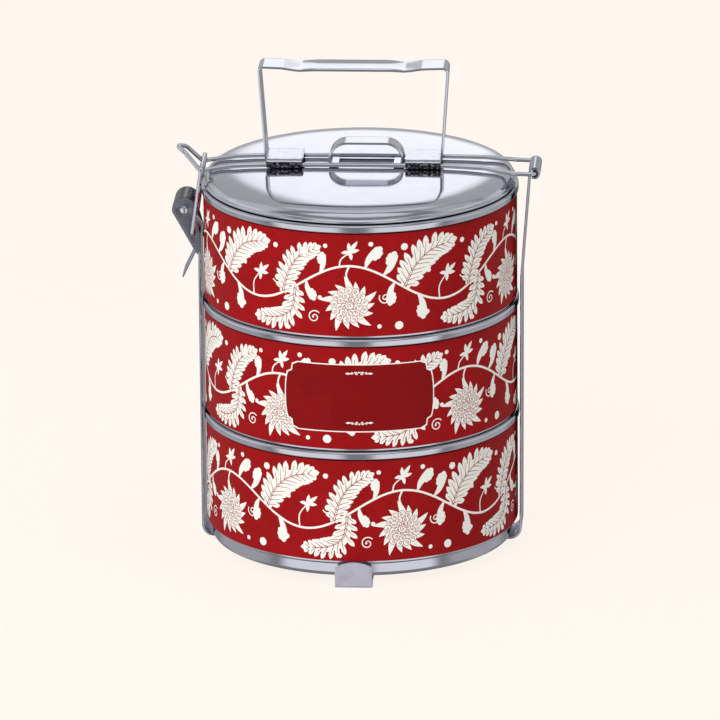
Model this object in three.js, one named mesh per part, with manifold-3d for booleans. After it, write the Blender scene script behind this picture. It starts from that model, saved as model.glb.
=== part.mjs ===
// Three-tier tiffin carrier: three nesting steel bowls with a printed film round each, a domed lid,
// a flat steel carrier strap that holds the stack, a wire clamp arm with the carry handle, and an
// over-centre latch that pulls the arm down. Millimetres, +Z up, ground at z = 0.
// +X is the hinge side, -X the latch side, -Y the front.
import * as THREE from 'three';
import { mergeVertices } from 'three/addons/utils/BufferGeometryUtils.js';
import Module from 'manifold-3d';

const wasm = await Module();
wasm.setup();

// Driving dimensions
const GAP = 0.3; // left between pieces that touch
const FACETS = 40; // round the bowls and the lid
const WIRE_FACETS = 8;
const BAR_FACETS = 24; // round pins, rivets and holes
const SHEET = 1; // carrier strap, foot strip and handles
const THIN_SHEET = 0.7; // latch lever

const TIERS = ['bottom', 'middle', 'top'];
const WALL_RADIUS = 69.6;
const WALL = 0.8;
const RIM_RADIUS = 71;
const BOWL_HEIGHT = 58.8;
const TIER_PITCH = 52.4;
const FILM_RADIUS = 70.2;
const FILM = 0.3;
const FILM_BOTTOM = 7.8; // above the bowl's base
const FILM_TOP = 54.7;

const STRAP_WIDTH = 20;
const STRAP_Z = 3.4; // middle of the sheet, under the bowls
const STRAP_X = 71.8;
const STRAP_BEND = 5;
const TONGUE_WIDTH = 17.4; // narrow top end of the strap, between the latch cheeks
const TONGUE_START = 130;
const ROLL_RADIUS = 2.2; // middle of the rolled sheet at the hinge barrel and at the latch eye

const BASE_Z = STRAP_Z + SHEET / 2 + GAP; // underside of the bottom bowl
const STACK_TOP = BASE_Z + BOWL_HEIGHT + 2 * TIER_PITCH; // rim of the top bowl
const HINGE = { x: 78.4, z: STACK_TOP + 7 };

const LID_EDGE_RADIUS = 70; // of the bead that rests on the rim
const LID_SHEET = 0.8;
const LID_NECK_RADIUS = 67;
const LID_NECK_DEPTH = 6;
const LID_HEIGHT = 8.4; // crown above the top rim
const LID_REST = 0.4; // underside of the bead above the top rim
const LID_HANDLE_WIDTH = 10.5;
const LID_HANDLE_TOP = STACK_TOP + 18.7; // middle of the sheet

const FOOT_WIDTH = 16.8;
const FOOT_FACE_Y = 71.6; // middle of the upright sheet
const FOOT_HEIGHT = 11.8;
const FOOT_SHOULDER = 9.4; // height of the tab at its sides
const FOOT_STRIP_Z = STRAP_Z - SHEET - GAP;
const BASE_RIVET = { x: 5, radius: 1.5, headRadius: 2.8, headHeight: 0.9 };

const WIRE_RADIUS = 1;
const PIVOT = { x: -78.3, z: STACK_TOP - 11.5 };
const PIVOT_RIVET = { radius: 1.2, headRadius: 1.9, headHeight: 0.6, clearance: 0.25 };
const LEVER_RADIUS = 5.5; // rounded top of the lever
const CHEEK_INNER_Y = 9;
const BAIL_HOLE = { x: -74.7, z: STACK_TOP - 22.2 };
const BAIL_BAR = { x: -70.1, z: STACK_TOP + 8.9 };
const BAIL_LEG_Y = 11.8;
const LEVER_TIP = { x: -72.2, z: STACK_TOP - 32.1 };
const LEVER_TAIL = { x: -79.4, z: STACK_TOP - 43 };
const CHEEK_FRONT = [[-70.9, STACK_TOP - 28.5], [-71.2, STACK_TOP - 23]]; // from the tip upwards

const HANDLE_WIDTH = 15;
const HANDLE_TOP = STACK_TOP + 54.8;
const LUG_Z = STACK_TOP + 12; // middle of the lug plates, just above the wires
const LUG_FOLD_Y = 9.7; // middle of the folds that hold the wires
const LUG_FOLD_Z = STACK_TOP + 8.8; // lower edge of the folds
const LUGS = [{ outer: -41.6, inner: -25 }, { outer: 36.9, inner: 20.6 }];

// Solids

function toManifold(geometry) {
  const source = geometry.index ? geometry : geometry.clone();
  for (const name of Object.keys(source.attributes)) {
    if (name !== 'position') source.deleteAttribute(name);
  }
  const merged = mergeVertices(source, 1e-5);
  const index = merged.index.array;
  const triangles = [];
  for (let i = 0; i < index.length; i += 3) {
    const [a, b, c] = [index[i], index[i + 1], index[i + 2]];
    if (a !== b && b !== c && c !== a) triangles.push(a, b, c);
  }
  return new wasm.Manifold(new wasm.Mesh({
    numProp: 3,
    vertProperties: new Float32Array(merged.attributes.position.array),
    triVerts: new Uint32Array(triangles),
  }));
}

function toGeometry(manifold) {
  const { vertProperties, triVerts } = manifold.getMesh();
  const geometry = new THREE.BufferGeometry();
  geometry.setAttribute('position', new THREE.BufferAttribute(new Float32Array(vertProperties), 3));
  geometry.setIndex(new THREE.BufferAttribute(new Uint32Array(triVerts), 1));
  geometry.computeVertexNormals();
  return geometry;
}

// A closed [radius, height] outline turned about +Z.
function turned(outline) {
  const points = outline.map(([r, z]) => new THREE.Vector2(r, z));
  const closed = outline[0][0] > 0 ? [...points, points[0]] : points;
  const geometry = new THREE.LatheGeometry(closed, FACETS);
  geometry.rotateX(Math.PI / 2);
  const solid = toManifold(geometry);
  return solid.volume() > 0 ? solid : toManifold(flipped(geometry));
}

function flipped(geometry) {
  const index = geometry.index.array;
  for (let i = 0; i < index.length; i += 3) {
    [index[i], index[i + 1]] = [index[i + 1], index[i]];
  }
  return geometry;
}

// Arc points round (x, z), from angle a to angle b in degrees.
function arc(x, z, radius, a, b, steps) {
  const points = [];
  for (let i = 0; i <= steps; i += 1) {
    const angle = THREE.MathUtils.degToRad(a + ((b - a) * i) / steps);
    points.push([x + radius * Math.cos(angle), z + radius * Math.sin(angle)]);
  }
  return points;
}

// A route with each inner corner rounded to its radius. A corner is [...coordinates, radius].
function rounded(corners, dimension, steps = 4) {
  const route = [];
  corners.forEach((corner, i) => {
    const at = new THREE.Vector3(...corner.slice(0, dimension));
    const radius = corner[dimension] ?? 0;
    if (i === 0 || i === corners.length - 1 || !radius) {
      route.push(at);
      return;
    }
    const back = new THREE.Vector3(...corners[i - 1].slice(0, dimension)).sub(at).normalize();
    const on = new THREE.Vector3(...corners[i + 1].slice(0, dimension)).sub(at).normalize();
    const half = back.angleTo(on) / 2;
    const centre = back.clone().add(on).normalize().multiplyScalar(radius / Math.sin(half)).add(at);
    const from = back.clone().multiplyScalar(radius / Math.tan(half)).add(at).sub(centre);
    const to = on.clone().multiplyScalar(radius / Math.tan(half)).add(at).sub(centre);
    const turn = new THREE.Quaternion().setFromUnitVectors(from.clone().normalize(), to.normalize());
    for (let k = 0; k <= steps; k += 1) {
      const part = new THREE.Quaternion().slerp(turn, k / steps);
      route.push(from.clone().applyQuaternion(part).add(centre));
    }
  });
  return route.map((p) => p.toArray().slice(0, dimension));
}

// A sheet strip: a middle line in a plane, given its thickness and a width across the plane.
// across is 'y' for a line in XZ, and 'x' for a line in YZ.
function strip(line, thickness, width, across) {
  const sides = [[], []];
  line.forEach(([u, v], i) => {
    const before = new THREE.Vector2(...line[Math.max(i - 1, 0)]);
    const after = new THREE.Vector2(...line[Math.min(i + 1, line.length - 1)]);
    const here = new THREE.Vector2(u, v);
    const inward = i ? here.clone().sub(before).normalize() : after.clone().sub(here).normalize();
    const outward = i < line.length - 1 ? after.clone().sub(here).normalize() : inward;
    const along = inward.clone().add(outward).normalize();
    const reach = thickness / 2 / along.dot(inward);
    sides[0].push(new THREE.Vector2(u - along.y * reach, v + along.x * reach));
    sides[1].push(new THREE.Vector2(u + along.y * reach, v - along.x * reach));
  });
  return plate([...sides[0], ...sides[1].reverse()], width, across);
}

// An outline in XZ (across 'y') or YZ (across 'x') given a width, centred on the plane.
function plate(outline, width, across) {
  const points = outline.map((p) => (p.isVector2 ? p : new THREE.Vector2(...p)));
  const shape = new THREE.Shape(points);
  const geometry = new THREE.ExtrudeGeometry(shape, { depth: width, bevelEnabled: false });
  geometry.translate(0, 0, -width / 2);
  geometry.rotateX(Math.PI / 2);
  if (across === 'x') geometry.rotateZ(Math.PI / 2);
  return toManifold(geometry);
}

// A polyline whose points are the sweep's own steps.
class Route extends THREE.Curve {
  constructor(points) {
    super();
    this.points = points.map((p) => new THREE.Vector3(...p));
  }

  getUtoTmapping(u) {
    return u;
  }

  getPoint(t, target = new THREE.Vector3()) {
    const place = t * (this.points.length - 1);
    const i = Math.min(Math.floor(place), this.points.length - 2);
    return target.lerpVectors(this.points[i], this.points[i + 1], place - i);
  }

  getTangent(t, target = new THREE.Vector3()) {
    const i = Math.round(t * (this.points.length - 1));
    target.set(0, 0, 0);
    if (i > 0) target.add(this.points[i].clone().sub(this.points[i - 1]).normalize());
    if (i < this.points.length - 1) {
      target.add(this.points[i + 1].clone().sub(this.points[i]).normalize());
    }
    return target.normalize();
  }
}

// A round wire along a route.
function wire(points) {
  const section = new THREE.Shape();
  for (let i = 0; i < WIRE_FACETS; i += 1) {
    const angle = ((i + 0.5) / WIRE_FACETS) * 2 * Math.PI;
    const method = i ? 'lineTo' : 'moveTo';
    section[method](WIRE_RADIUS * Math.cos(angle), WIRE_RADIUS * Math.sin(angle));
  }
  const geometry = new THREE.ExtrudeGeometry(section, {
    steps: points.length - 1,
    extrudePath: new Route(points),
  });
  return toManifold(geometry);
}

// A round bar along 'y' or 'z', from low to high.
function bar(radius, low, high, axis, at) {
  const geometry = new THREE.CylinderGeometry(radius, radius, high - low, BAR_FACETS);
  geometry.translate(0, (low + high) / 2, 0);
  if (axis === 'z') geometry.rotateX(Math.PI / 2);
  geometry.translate(at.x, 0, at.z ?? 0);
  return toManifold(geometry);
}

// A box between two corners.
function block(low, high) {
  const size = high.map((value, i) => value - low[i]);
  const geometry = new THREE.BoxGeometry(...size);
  geometry.translate(...high.map((value, i) => (value + low[i]) / 2));
  return toManifold(geometry);
}

// Bowls, printed film and lid

function bowl(base) {
  const inner = WALL_RADIUS - WALL;
  const outline = [
    [0, 1.6], [50, 1.6], [53, 0], [64.6, 0], [67.2, 0.5], [68.1, 1.6], [68.3, 6], [68.9, 6.4],
    [69.3, 6.8], [WALL_RADIUS, 7.4], [WALL_RADIUS, 55], [70.7, 55.5], [RIM_RADIUS, 56.1],
    [RIM_RADIUS, 58], [70.5, 58.6], [69.8, BOWL_HEIGHT], [inner + 0.2, 58.6], [inner, 58.1],
    [inner, 7.8], [67.5, 6.6], [67.3, 2.4], [66.4, 1.3], [64.4, 0.8], [53.4, 0.8], [50.4, 2.4],
    [0, 2.4],
  ];
  return turned(outline.map(([r, z]) => [r, base + z]));
}

function film(base) {
  return turned([
    [FILM_RADIUS - FILM, base + FILM_BOTTOM],
    [FILM_RADIUS, base + FILM_BOTTOM],
    [FILM_RADIUS, base + FILM_TOP],
    [FILM_RADIUS - FILM, base + FILM_TOP],
  ]);
}

function lidShell() {
  const inside = LID_NECK_RADIUS - LID_SHEET;
  const dome = [
    [0, LID_HEIGHT], [20, 8.38], [35, 8.25], [45, 8], [52, 7.7], [58, 7.3], [63, 6.65], [66, 5.9],
    [68, 4.7], [69, 3.2],
  ];
  const bead = [
    [69.3, 2.2], [69.9, 1.7], [LID_EDGE_RADIUS, 1.2], [69.7, 0.65], [69.2, LID_REST],
  ];
  const neck = [
    [LID_NECK_RADIUS, LID_REST], [LID_NECK_RADIUS, LID_REST - LID_NECK_DEPTH],
    [LID_NECK_RADIUS - 0.2, -LID_NECK_DEPTH], [inside, -LID_NECK_DEPTH], [inside, 3.6],
  ];
  const ceiling = dome.slice(0, -2).reverse().map(([r, z]) => [Math.max(r - 0.6, 0), z - LID_SHEET]);
  return turned([...dome, ...bead, ...neck, ...ceiling].map(([r, z]) => [r, STACK_TOP + z]));
}

function lidHandle() {
  const foot = STACK_TOP + LID_HEIGHT + GAP + SHEET / 2;
  const [left, right, toe] = [-13.2, 19.4, 4];
  const line = rounded([
    [left + toe, foot], [left, foot, 1.2], [left, LID_HANDLE_TOP, 7.8],
    [right, LID_HANDLE_TOP, 7.8], [right, foot, 1.2], [right - toe, foot],
  ], 2, 5);
  return strip(line, SHEET, LID_HANDLE_WIDTH, 'y');
}

// Carrier frame

function carrierStrap() {
  const eye = arc(PIVOT.x, PIVOT.z, ROLL_RADIUS, 0, 290, 14);
  const barrel = arc(HINGE.x, HINGE.z, ROLL_RADIUS, 180, -120, 14);
  const side = rounded([
    [...eye[0]],
    [eye[0][0], PIVOT.z - 2.5, 3],
    [-STRAP_X, PIVOT.z - 11, 4],
    [-STRAP_X, STRAP_Z, STRAP_BEND],
    [STRAP_X, STRAP_Z, STRAP_BEND],
    [STRAP_X + 0.6, 126, 40],
    [...barrel[0]],
  ], 2, 5);
  const line = [...eye.slice(1).reverse(), ...side, ...barrel.slice(1)];
  return strip(line, SHEET, STRAP_WIDTH, 'y')
    .subtract(besideTongue(-1))
    .subtract(besideTongue(1))
    .subtract(baseRivetHoles());
}

// What is cut away at one side of the tongue.
function besideTongue(side) {
  const cut = STRAP_WIDTH - TONGUE_WIDTH;
  const reach = 2 * ROLL_RADIUS + SHEET;
  const low = [PIVOT.x - reach, -cut / 2, TONGUE_START];
  const high = [PIVOT.x + 2 * reach, cut / 2, PIVOT.z + reach];
  return block(low, high).translate([0, (side * (TONGUE_WIDTH + cut)) / 2, 0]);
}

function baseRivetHoles() {
  const { x, radius } = BASE_RIVET;
  const [left, right] = [-x, x].map((at) => bar(radius + GAP, 0, BASE_Z, 'z', { x: at }));
  return left.add(right);
}

function footStrip() {
  const low = SHEET / 2;
  const half = [
    [FOOT_FACE_Y - 3.2, FOOT_STRIP_Z, 1.2], [FOOT_FACE_Y - 2.6, low, 0.7],
    [FOOT_FACE_Y, low, 0.7], [FOOT_FACE_Y, FOOT_HEIGHT],
  ];
  const mirrored = half.map(([y, ...rest]) => [-y, ...rest]).reverse();
  const line = rounded([...mirrored, ...half], 2);
  const across = FOOT_WIDTH / 2;
  const rise = FOOT_HEIGHT - FOOT_SHOULDER;
  const crown = (across ** 2 + rise ** 2) / (2 * rise);
  const spread = THREE.MathUtils.radToDeg(Math.asin(across / crown));
  const outline = [
    [-across, -1], [across, -1],
    ...arc(0, FOOT_HEIGHT - crown, crown, 90 - spread, 90 + spread, 8),
  ];
  const tab = plate(outline, 2 * FOOT_FACE_Y + 10, 'y');
  return strip(line, SHEET, FOOT_WIDTH, 'x').intersect(tab).subtract(baseRivetHoles());
}

function baseRivet(side) {
  const { radius, headRadius, headHeight } = BASE_RIVET;
  const at = { x: side * BASE_RIVET.x };
  const under = FOOT_STRIP_Z - SHEET / 2 - GAP;
  const over = STRAP_Z + SHEET / 2 + GAP;
  return bar(radius, under - headHeight / 2, over + headHeight / 2, 'z', at)
    .add(bar(headRadius, under - headHeight, under, 'z', at))
    .add(bar(headRadius, over, over + headHeight, 'z', at));
}

// Latch

function leverWeb() {
  const middle = LEVER_RADIUS - THIN_SHEET / 2;
  const roll = arc(PIVOT.x, PIVOT.z, middle, 60, 190, 9);
  const tip = [LEVER_TIP.x - 1.3, LEVER_TIP.z + 1.3];
  const line = [...roll, tip, [LEVER_TAIL.x, LEVER_TAIL.z]];
  return strip(line, THIN_SHEET, 2 * CHEEK_INNER_Y + 0.2, 'y');
}

function leverCheek(side) {
  const outline = [
    ...arc(PIVOT.x, PIVOT.z, LEVER_RADIUS, -30, 190, 14),
    [LEVER_TIP.x - 0.9, LEVER_TIP.z + 0.5],
    [LEVER_TIP.x, LEVER_TIP.z],
    ...CHEEK_FRONT,
  ];
  const sheet = plate(outline, THIN_SHEET, 'y');
  return sheet.translate([0, side * (CHEEK_INNER_Y + THIN_SHEET / 2), 0]);
}

function latchLever() {
  const reach = CHEEK_INNER_Y + 5;
  const lever = leverWeb().add(leverCheek(-1)).add(leverCheek(1));
  return lever
    .subtract(bar(PIVOT_RIVET.radius + GAP, -reach, reach, 'y', PIVOT))
    .subtract(bar(WIRE_RADIUS + GAP, -reach, reach, 'y', BAIL_HOLE));
}

function latchRivet() {
  const { radius, headRadius, headHeight, clearance } = PIVOT_RIVET;
  const face = CHEEK_INNER_Y + THIN_SHEET + clearance;
  const end = face + headHeight / 2;
  return bar(radius, -end, end, 'y', PIVOT)
    .add(bar(headRadius, -face - headHeight, -face, 'y', PIVOT))
    .add(bar(headRadius, face, face + headHeight, 'y', PIVOT));
}

function latchBail() {
  const half = [
    [BAIL_HOLE.x, CHEEK_INNER_Y - 0.8, BAIL_HOLE.z], [BAIL_HOLE.x, BAIL_LEG_Y, BAIL_HOLE.z, 1.3],
    [BAIL_BAR.x, BAIL_LEG_Y, BAIL_BAR.z, 2.2],
  ];
  const mirrored = half.map(([x, y, ...rest]) => [x, -y, ...rest]).reverse();
  return wire(rounded([...half, ...mirrored], 3, 5));
}

// Clamp arm

function clampWire() {
  // x, half spacing, height above the top rim, bend radius
  const run = [
    [HINGE.x, 5, 7, 0], [HINGE.x, 11.3, 7, 1.3], [70, 11.3, 7.2, 12], [56, 9, 9, 20],
    [40, 7.9, 9.5, 40], [0, 7.9, 9.7, 400], [-40, 7.9, 9.45, 40], [-56, 7.9, 8.9, 30],
    [-71, 8, 6.5, 2.2], [-77.8, 5, 14, 5], [-80.9, 1.7, 15.5, 1.6],
  ];
  const near = run.map(([x, y, z, radius]) => [x, -y, STACK_TOP + z, radius]);
  const far = run.map(([x, y, z, radius]) => [x, y, STACK_TOP + z, radius]).reverse();
  return wire(rounded([...near, ...far], 3));
}

function carryHandle() {
  const [left, right] = LUGS;
  const [corner, shoulder, grip] = [HANDLE_TOP - 0.5, HANDLE_TOP - 0.9, HANDLE_TOP - 2.2];
  const line = rounded([
    [left.inner, LUG_Z], [left.outer, LUG_Z, 1], [left.outer - 3, corner, 2.2], [-34, shoulder, 12],
    [-26, grip, 12], [20.5, grip, 12], [28.5, shoulder, 12], [right.outer + 3, corner, 2.2],
    [right.outer, LUG_Z, 1], [right.inner, LUG_Z],
  ], 2);
  return LUGS.map(lug).reduce((whole, part) => whole.add(part), strip(line, SHEET, HANDLE_WIDTH, 'y'));
}

// The channel at the foot of each handle leg, folded down outside the two wires.
function lug({ outer, inner }) {
  const half = [[LUG_FOLD_Y, LUG_Z, 1.6], [LUG_FOLD_Y, LUG_FOLD_Z]];
  const mirrored = half.map(([y, ...rest]) => [-y, ...rest]).reverse();
  const length = Math.abs(outer - inner) - 0.4;
  const channel = strip(rounded([...mirrored, ...half], 2), SHEET, length, 'x');
  return channel.translate([(outer + inner) / 2, 0, 0]);
}

// Materials and assembly

const LOOKS = {
  steel: { color: 0xb4b6c2, roughness: 0.18, metalness: 1 },
  dull_steel: { color: 0xb9b6c2, roughness: 0.5, metalness: 0.9 },
  red_film: { color: 0x99202a, roughness: 0.45, metalness: 0 },
};

const carrier = new THREE.Group();

function place(name, solid, look) {
  const mesh = new THREE.Mesh(toGeometry(solid), new THREE.MeshStandardMaterial(LOOKS[look]));
  mesh.name = name;
  carrier.add(mesh);
}

place('carrier_strap', carrierStrap(), 'steel');
place('foot_strip', footStrip(), 'dull_steel');
place('base_rivet_left', baseRivet(-1), 'steel');
place('base_rivet_right', baseRivet(1), 'steel');
TIERS.forEach((tier, i) => {
  const base = BASE_Z + i * TIER_PITCH;
  place(`bowl_${tier}`, bowl(base), 'steel');
  place(`print_wrap_${tier}`, film(base), 'red_film');
});
place('lid_shell', lidShell(), 'steel');
place('lid_handle', lidHandle(), 'steel');
place('latch_lever', latchLever(), 'steel');
place('latch_rivet', latchRivet(), 'steel');
place('latch_bail', latchBail(), 'steel');
place('clamp_wire', clampWire(), 'steel');
place('carry_handle', carryHandle(), 'steel');

export default carrier;
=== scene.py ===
"""Looks of the three-tier tiffin carrier: polished bowls and lid, wire arm, latch, and the printed film."""

import math

import bmesh
import bpy
import numpy as np
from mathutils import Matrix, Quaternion, Vector
from mathutils.geometry import delaunay_2d_cdt


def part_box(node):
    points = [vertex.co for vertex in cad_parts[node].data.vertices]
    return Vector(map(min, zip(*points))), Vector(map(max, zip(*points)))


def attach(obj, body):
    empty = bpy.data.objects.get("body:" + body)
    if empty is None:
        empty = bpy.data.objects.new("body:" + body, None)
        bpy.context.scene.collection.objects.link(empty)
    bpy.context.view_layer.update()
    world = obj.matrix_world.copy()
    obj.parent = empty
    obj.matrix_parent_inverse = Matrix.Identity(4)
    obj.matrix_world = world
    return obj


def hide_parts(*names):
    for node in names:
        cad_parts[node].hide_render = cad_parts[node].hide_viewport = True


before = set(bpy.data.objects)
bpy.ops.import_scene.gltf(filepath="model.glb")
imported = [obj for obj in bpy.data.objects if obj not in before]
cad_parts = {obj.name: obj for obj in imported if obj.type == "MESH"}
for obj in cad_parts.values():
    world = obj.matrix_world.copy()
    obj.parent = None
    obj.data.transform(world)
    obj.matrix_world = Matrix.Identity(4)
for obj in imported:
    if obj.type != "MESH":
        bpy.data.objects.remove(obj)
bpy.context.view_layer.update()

# Sizes and places. Shapes are in millimetres until a mesh is made. Lamps and the camera are in metres.
MM = 0.001
TIERS = ["bottom", "middle", "top"]


def low(node):
    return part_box(node)[0] / MM


def high(node):
    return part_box(node)[1] / MM


BASE = {tier: low(f"bowl_{tier}").z for tier in TIERS}
TOP = high("bowl_top").z  # rim of the top bowl
GAP = 0.3  # between pieces that lie against each other
SHEET = 1.0  # thickness of the carrier strap, foot strip and handles
BOWL_HEIGHT = 58.8
WALL_RADIUS = 69.6
WALL = 0.8  # thickness
RIM_RADIUS = 71.0
FILM_RADIUS = 70.2
FILM = 0.3  # thickness
LID_HEIGHT = 8.4  # crown above the top rim
LID_SHEET = 0.8
LID_NECK_RADIUS = 67.0
LID_NECK_DEPTH = 6.0
STRAP_WIDTH = 20.0
STRAP_X = 71.8  # middle of the sheet at the sides
STRAP_Z = 3.4  # middle of the sheet under the bowls
TONGUE_WIDTH = 17.4  # narrow top end of the strap, between the latch cheeks
TONGUE_START = 130.0
ROLL_RADIUS = 2.2  # middle of the rolled sheet at the hinge barrel and at the latch eye
FOOT_WIDTH = 16.8
FOOT_FACE_Y = 71.6  # middle of the upright sheet
FOOT_HEIGHT = 11.8
FOOT_SHOULDER = 9.4  # height of the tab at its sides
BASE_RIVET_X = 5.0
WIRE = 1.0  # radius
HINGE = Vector((78.4, 0, TOP + 7.0))  # of the arm
PIVOT = Vector((-78.3, 0, TOP - 11.5))  # of the latch lever
BAIL_HOLE = Vector((-74.7, 0, TOP - 22.2))
BAIL_BAR = Vector((-70.1, 0, TOP + 8.9))
BAIL_LEG_Y = 11.8
LEVER_RADIUS = 5.5  # rounded top of the lever
LEVER_SHEET = 0.7
LEVER_TIP = Vector((-72.2, 0, TOP - 32.1))
LEVER_TAIL = Vector((-79.4, 0, TOP - 43.0))
CHEEK_INNER_Y = 9.0
CHEEK_FRONT = [(-70.9, TOP - 28.5), (-71.2, TOP - 23.0)]  # from the tip upwards
HANDLE_WIDTH = 15.0
HANDLE_TOP = TOP + 54.8
LUG_Z = TOP + 12.0  # middle of the lug plates, just above the wires
LUGS = [(-41.6, -25.0), (36.9, 20.6)]  # outer and inner end


# Shapes


def clamped(value):
    return min(max(value, 0), 1)


def arc(x, z, radius, start, end, steps):
    """Points round (x, z) between two angles in degrees."""
    angles = [math.radians(start + (end - start) * i / steps) for i in range(steps + 1)]
    return [(x + radius * math.cos(a), z + radius * math.sin(a)) for a in angles]


def rounded(corners, dimension, steps=8):
    """A route with each inner corner rounded: a corner is its coordinates and, if it is round, a radius."""
    route = []
    for i, corner in enumerate(corners):
        at = Vector(corner[:dimension]).to_3d()
        radius = corner[dimension] if len(corner) > dimension else 0
        if i in (0, len(corners) - 1) or not radius:
            route.append(at)
            continue
        back = (Vector(corners[i - 1][:dimension]).to_3d() - at).normalized()
        on = (Vector(corners[i + 1][:dimension]).to_3d() - at).normalized()
        half = back.angle(on) / 2
        centre = at + (back + on).normalized() * (radius / math.sin(half))
        first = at + back * (radius / math.tan(half)) - centre
        last = at + on * (radius / math.tan(half)) - centre
        turn = first.rotation_difference(last)
        for k in range(steps + 1):
            part = Quaternion().slerp(turn, k / steps)
            route.append(centre + part @ first)
    return [tuple(p[:dimension]) for p in route]


def mirrored(half):
    """The corners with their first coordinate negated, in reverse order."""
    return [(-p[0], *p[1:]) for p in half][::-1]


def spaced(route, step):
    """The route with points added so that none lie further apart than step."""
    out = [route[0]]
    for a, b in zip(route, route[1:]):
        a, b = Vector(a), Vector(b)
        count = max(1, math.ceil((b - a).length / step))
        out += [tuple(a.lerp(b, k / count)) for k in range(1, count + 1)]
    return out


def smooth(points, steps=7):
    """A Catmull-Rom curve through the points."""
    pts = [Vector(p) for p in points]
    pts = [2 * pts[0] - pts[1]] + pts + [2 * pts[-1] - pts[-2]]
    out = []
    for i in range(1, len(pts) - 2):
        a, b, c, d = pts[i - 1:i + 3]
        for k in range(steps):
            t = k / steps
            out.append(0.5 * ((2 * b) + (c - a) * t + (2 * a - 5 * b + 4 * c - d) * t * t
                              + (3 * b - a - 3 * c + d) * t ** 3))
    return out + [pts[-2]]


def make(name, vertices, faces, materials, sharp, face_material=None):
    """A mesh object from millimetres, smooth except where faces meet at more than sharp degrees."""
    mesh = bpy.data.meshes.new(name)
    mesh.from_pydata([tuple(Vector(v) * MM) for v in vertices], [], faces)
    for material in materials:
        mesh.materials.append(material)
    if face_material:
        mesh.polygons.foreach_set("material_index", face_material)
    mesh.validate()
    mesh.update()
    mesh.polygons.foreach_set("use_smooth", [True] * len(mesh.polygons))
    mesh.set_sharp_from_angle(angle=math.radians(sharp))
    piece = bpy.data.objects.new(name, mesh)
    bpy.context.scene.collection.objects.link(piece)
    return piece


def outward(piece):
    """Merges the doubled points of a closed mesh, and turns its faces to point outwards."""
    shape = bmesh.new()
    shape.from_mesh(piece.data)
    bmesh.ops.remove_doubles(shape, verts=shape.verts, dist=1e-7)
    bmesh.ops.recalc_face_normals(shape, faces=shape.faces)
    shape.to_mesh(piece.data)
    shape.free()
    return piece


def settle(piece, body, slot, *nodes):
    """Says what a piece rides on, and hides the CAD nodes that it stands for. slot is not used."""
    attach(piece, body)
    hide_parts(*nodes)


def turned(name, outline, material, segments=256, centre=(0, 0), axis="z", sharp=40):
    """A (radius, height) outline that starts and ends on an axis, turned about it. centre is in XZ."""
    vertices, rings = [], []
    for r, h in outline:
        if r < 1e-6:
            rings.append([len(vertices)] * segments)
            vertices.append((0, 0, h))
            continue
        rings.append([len(vertices) + k for k in range(segments)])
        for k in range(segments):
            a = 2 * math.pi * k / segments
            vertices.append((r * math.sin(a), -r * math.cos(a), h))
    faces = []
    for one, two in zip(rings, rings[1:]):
        for k in range(segments):
            n = (k + 1) % segments
            corners = [one[k], one[n], two[n], two[k]]
            unique = [c for i, c in enumerate(corners) if c not in corners[:i]]
            if len(unique) > 2:
                faces.append(unique)
    if axis == "y":
        vertices = [(x, -z, y) for x, y, z in vertices]
    cx, cz = centre
    vertices = [(x + cx, y, z + cz) for x, y, z in vertices]
    return outward(make(name, vertices, faces, [material], sharp))


def swept(sections):
    """Vertices and faces of a closed skin over sections that all have the same number of points."""
    count = len(sections[0])
    vertices = [p for section in sections for p in section]
    faces = []
    for i in range(len(sections) - 1):
        for k in range(count):
            n = (k + 1) % count
            faces.append((i * count + k, i * count + n, (i + 1) * count + n, (i + 1) * count + k))
    faces.append(tuple(range(count))[::-1])
    faces.append(tuple(range(len(vertices) - count, len(vertices))))
    return vertices, faces


def wire(name, route, material):
    """A round wire along a route, with domed ends."""
    sides = 20
    points = [Vector(p) for p in route]
    last = len(points) - 1
    tangents = [(points[min(i + 1, last)] - points[max(i - 1, 0)]).normalized() for i in range(last + 1)]
    dome = [(WIRE * 0.5 * math.sin(a), math.cos(a)) for a in (math.radians(d) for d in (20, 40, 60, 80))]
    start = [(points[0] - tangents[0] * out, share, 0) for out, share in dome[::-1]]
    middle = [(p, 1.0, i) for i, p in enumerate(points)]
    end = [(points[last] + tangents[last] * out, share, last) for out, share in dome]
    side = tangents[0].orthogonal().normalized()
    sections = []
    for p, share, i in start + middle + end:
        side = (side - tangents[i] * side.dot(tangents[i])).normalized()
        other = tangents[i].cross(side)
        angles = [2 * math.pi * k / sides for k in range(sides)]
        sections.append([p + (side * math.cos(a) + other * math.sin(a)) * (WIRE * share) for a in angles])
    vertices, faces = swept(sections)
    return outward(make(name, vertices, faces, [material], 60))


def sheet_section(width, thickness, across_steps):
    """The outline of a strip's section as (across, through), with rounded edges."""
    half, thick = width / 2, thickness / 2
    edge = min(0.3, thick * 0.95)
    top = [(-half + edge + (width - 2 * edge) * k / across_steps, thick) for k in range(across_steps + 1)]
    right = [(half - edge + edge * math.sin(a), thick - edge + edge * math.cos(a))
             for a in (math.radians(d) for d in (30, 60, 90))]
    half_outline = top + right
    return half_outline + [(-u, -v) for u, v in half_outline]


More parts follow.
